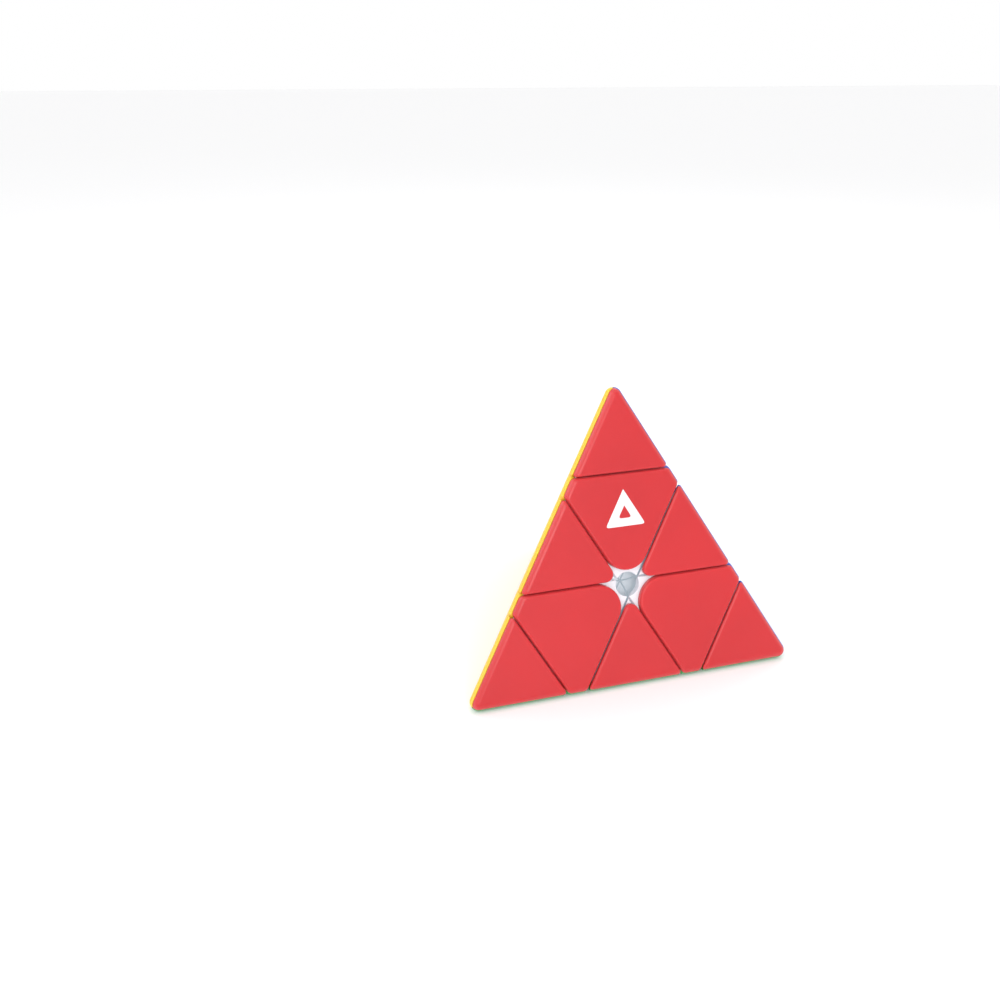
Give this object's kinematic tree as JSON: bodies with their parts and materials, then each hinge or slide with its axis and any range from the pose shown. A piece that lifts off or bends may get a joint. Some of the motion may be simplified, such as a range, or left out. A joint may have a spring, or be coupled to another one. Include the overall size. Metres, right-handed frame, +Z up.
{
  "type": "pyramid twisty puzzle",
  "caption": "Tetrahedral twisty puzzle with snap-in turning tips, turning layers and edge pieces held by the flanges of sprung centre pieces on a four-armed core.",
  "frame": {"origin": "middle of the core, where the four turning axes meet, which is also the middle of the tetrahedron", "axes": "+Z up through the top vertex, so the puzzle stands on its green face; the red face looks towards -Y; +X runs to the viewer's right along the red face's lower edge"},
  "size_m": [0.098, 0.0855, 0.0809],
  "materials": {
    "red_plastic": "satin gloss, coloured through",
    "blue_plastic": "satin gloss, coloured through",
    "yellow_plastic": "satin gloss, coloured through",
    "green_plastic": "satin gloss, coloured through",
    "white_plastic": "smooth moulded white",
    "core_plastic": "smooth moulded pale grey",
    "steel": "bright plated"
  },
  "bodies": {
    "core": {"core_spider": "core_plastic", "top_tension_screw": "steel", "top_tension_spring": "steel", "left_tension_screw": "steel", "left_tension_spring": "steel", "right_tension_screw": "steel", "right_tension_spring": "steel", "back_tension_screw": "steel", "back_tension_spring": "steel"},
    "top_layer": {"top_centre_frame": "white_plastic", "top_centre_cap_red": "red_plastic", "top_centre_cap_blue": "blue_plastic", "top_centre_cap_yellow": "yellow_plastic"},
    "top_tip": {"top_tip_frame": "white_plastic", "top_tip_cap_red": "red_plastic", "top_tip_cap_blue": "blue_plastic", "top_tip_cap_yellow": "yellow_plastic"},
    "left_layer": {"left_centre_frame": "white_plastic", "left_centre_cap_red": "red_plastic", "left_centre_cap_yellow": "yellow_plastic", "left_centre_cap_green": "green_plastic"},
    "left_tip": {"left_tip_frame": "white_plastic", "left_tip_cap_red": "red_plastic", "left_tip_cap_yellow": "yellow_plastic", "left_tip_cap_green": "green_plastic"},
    "right_layer": {"right_centre_frame": "white_plastic", "right_centre_cap_red": "red_plastic", "right_centre_cap_blue": "blue_plastic", "right_centre_cap_green": "green_plastic"},
    "right_tip": {"right_tip_frame": "white_plastic", "right_tip_cap_red": "red_plastic", "right_tip_cap_blue": "blue_plastic", "right_tip_cap_green": "green_plastic"},
    "back_layer": {"back_centre_frame": "white_plastic", "back_centre_cap_blue": "blue_plastic", "back_centre_cap_yellow": "yellow_plastic", "back_centre_cap_green": "green_plastic"},
    "back_tip": {"back_tip_frame": "white_plastic", "back_tip_cap_blue": "blue_plastic", "back_tip_cap_yellow": "yellow_plastic", "back_tip_cap_green": "green_plastic"},
    "top_left_edge": {"top_left_edge_frame": "white_plastic", "top_left_edge_cap_red": "red_plastic", "top_left_edge_cap_yellow": "yellow_plastic"},
    "top_right_edge": {"top_right_edge_frame": "white_plastic", "top_right_edge_cap_red": "red_plastic", "top_right_edge_cap_blue": "blue_plastic"},
    "left_right_edge": {"left_right_edge_frame": "white_plastic", "left_right_edge_cap_red": "red_plastic", "left_right_edge_cap_green": "green_plastic"},
    "top_back_edge": {"top_back_edge_frame": "white_plastic", "top_back_edge_cap_blue": "blue_plastic", "top_back_edge_cap_yellow": "yellow_plastic"},
    "left_back_edge": {"left_back_edge_frame": "white_plastic", "left_back_edge_cap_yellow": "yellow_plastic", "left_back_edge_cap_green": "green_plastic"},
    "right_back_edge": {"right_back_edge_frame": "white_plastic", "right_back_edge_cap_blue": "blue_plastic", "right_back_edge_cap_green": "green_plastic"}
  },
  "joints": [
    {"name": "top_layer_turn", "type": "hinge", "parent": "core", "child": "top_layer", "pos_m": [0, 0, 0], "axis": [0, 0, 1], "range_deg": [-120, 360]},
    {"name": "top_tip_turn", "type": "hinge", "parent": "top_layer", "child": "top_tip", "pos_m": [0, 0, 0], "axis": [0, 0, 1], "continuous": true},
    {"name": "left_layer_turn", "type": "hinge", "parent": "core", "child": "left_layer", "pos_m": [0, 0, 0], "axis": [-0.8165, -0.4714, -0.3333], "range_deg": [-120, 360]},
    {"name": "left_tip_turn", "type": "hinge", "parent": "left_layer", "child": "left_tip", "pos_m": [0, 0, 0], "axis": [-0.8165, -0.4714, -0.3333], "continuous": true},
    {"name": "right_layer_turn", "type": "hinge", "parent": "core", "child": "right_layer", "pos_m": [0, 0, 0], "axis": [0.8165, -0.4714, -0.3333], "range_deg": [-120, 360]},
    {"name": "right_tip_turn", "type": "hinge", "parent": "right_layer", "child": "right_tip", "pos_m": [0, 0, 0], "axis": [0.8165, -0.4714, -0.3333], "continuous": true},
    {"name": "back_layer_turn", "type": "hinge", "parent": "core", "child": "back_layer", "pos_m": [0, 0, 0], "axis": [0, 0.9428, -0.3333], "range_deg": [-360, 180]},
    {"name": "back_tip_turn", "type": "hinge", "parent": "back_layer", "child": "back_tip", "pos_m": [0, 0, 0], "axis": [0, 0.9428, -0.3333], "continuous": true},
    {"name": "top_left_edge_turn", "type": "hinge", "parent": "top_layer", "child": "top_left_edge", "pos_m": [0, 0, 0], "axis": [-0.8165, -0.4714, -0.3333], "range_deg": [-120, 360]},
    {"name": "top_right_edge_turn", "type": "hinge", "parent": "right_layer", "child": "top_right_edge", "pos_m": [0, 0, 0], "axis": [0, 0, 1], "range_deg": [-120, 360]},
    {"name": "left_right_edge_turn", "type": "hinge", "parent": "left_layer", "child": "left_right_edge", "pos_m": [0, 0, 0], "axis": [0.8165, -0.4714, -0.3333], "range_deg": [-120, 360]},
    {"name": "top_back_edge_turn", "type": "hinge", "parent": "back_layer", "child": "top_back_edge", "pos_m": [0, 0, 0], "axis": [0, 0, 1], "range_deg": [-120, 360]},
    {"name": "left_back_edge_turn", "type": "hinge", "parent": "back_layer", "child": "left_back_edge", "pos_m": [0, 0, 0], "axis": [-0.8165, -0.4714, -0.3333], "range_deg": [-120, 360]},
    {"name": "right_back_edge_turn", "type": "hinge", "parent": "back_layer", "child": "right_back_edge", "pos_m": [0, 0, 0], "axis": [0.8165, -0.4714, -0.3333], "range_deg": [-120, 360]}
  ],
  "couplings": [
    {"joint": "top_left_edge_turn", "follows": "left_layer_turn", "ratio": 1},
    {"joint": "top_right_edge_turn", "follows": "top_layer_turn", "ratio": 1},
    {"joint": "left_right_edge_turn", "follows": "right_layer_turn", "ratio": 1},
    {"joint": "top_back_edge_turn", "follows": "top_layer_turn", "ratio": 1},
    {"joint": "left_back_edge_turn", "follows": "left_layer_turn", "ratio": 1},
    {"joint": "right_back_edge_turn", "follows": "right_layer_turn", "ratio": 1}
  ]
}
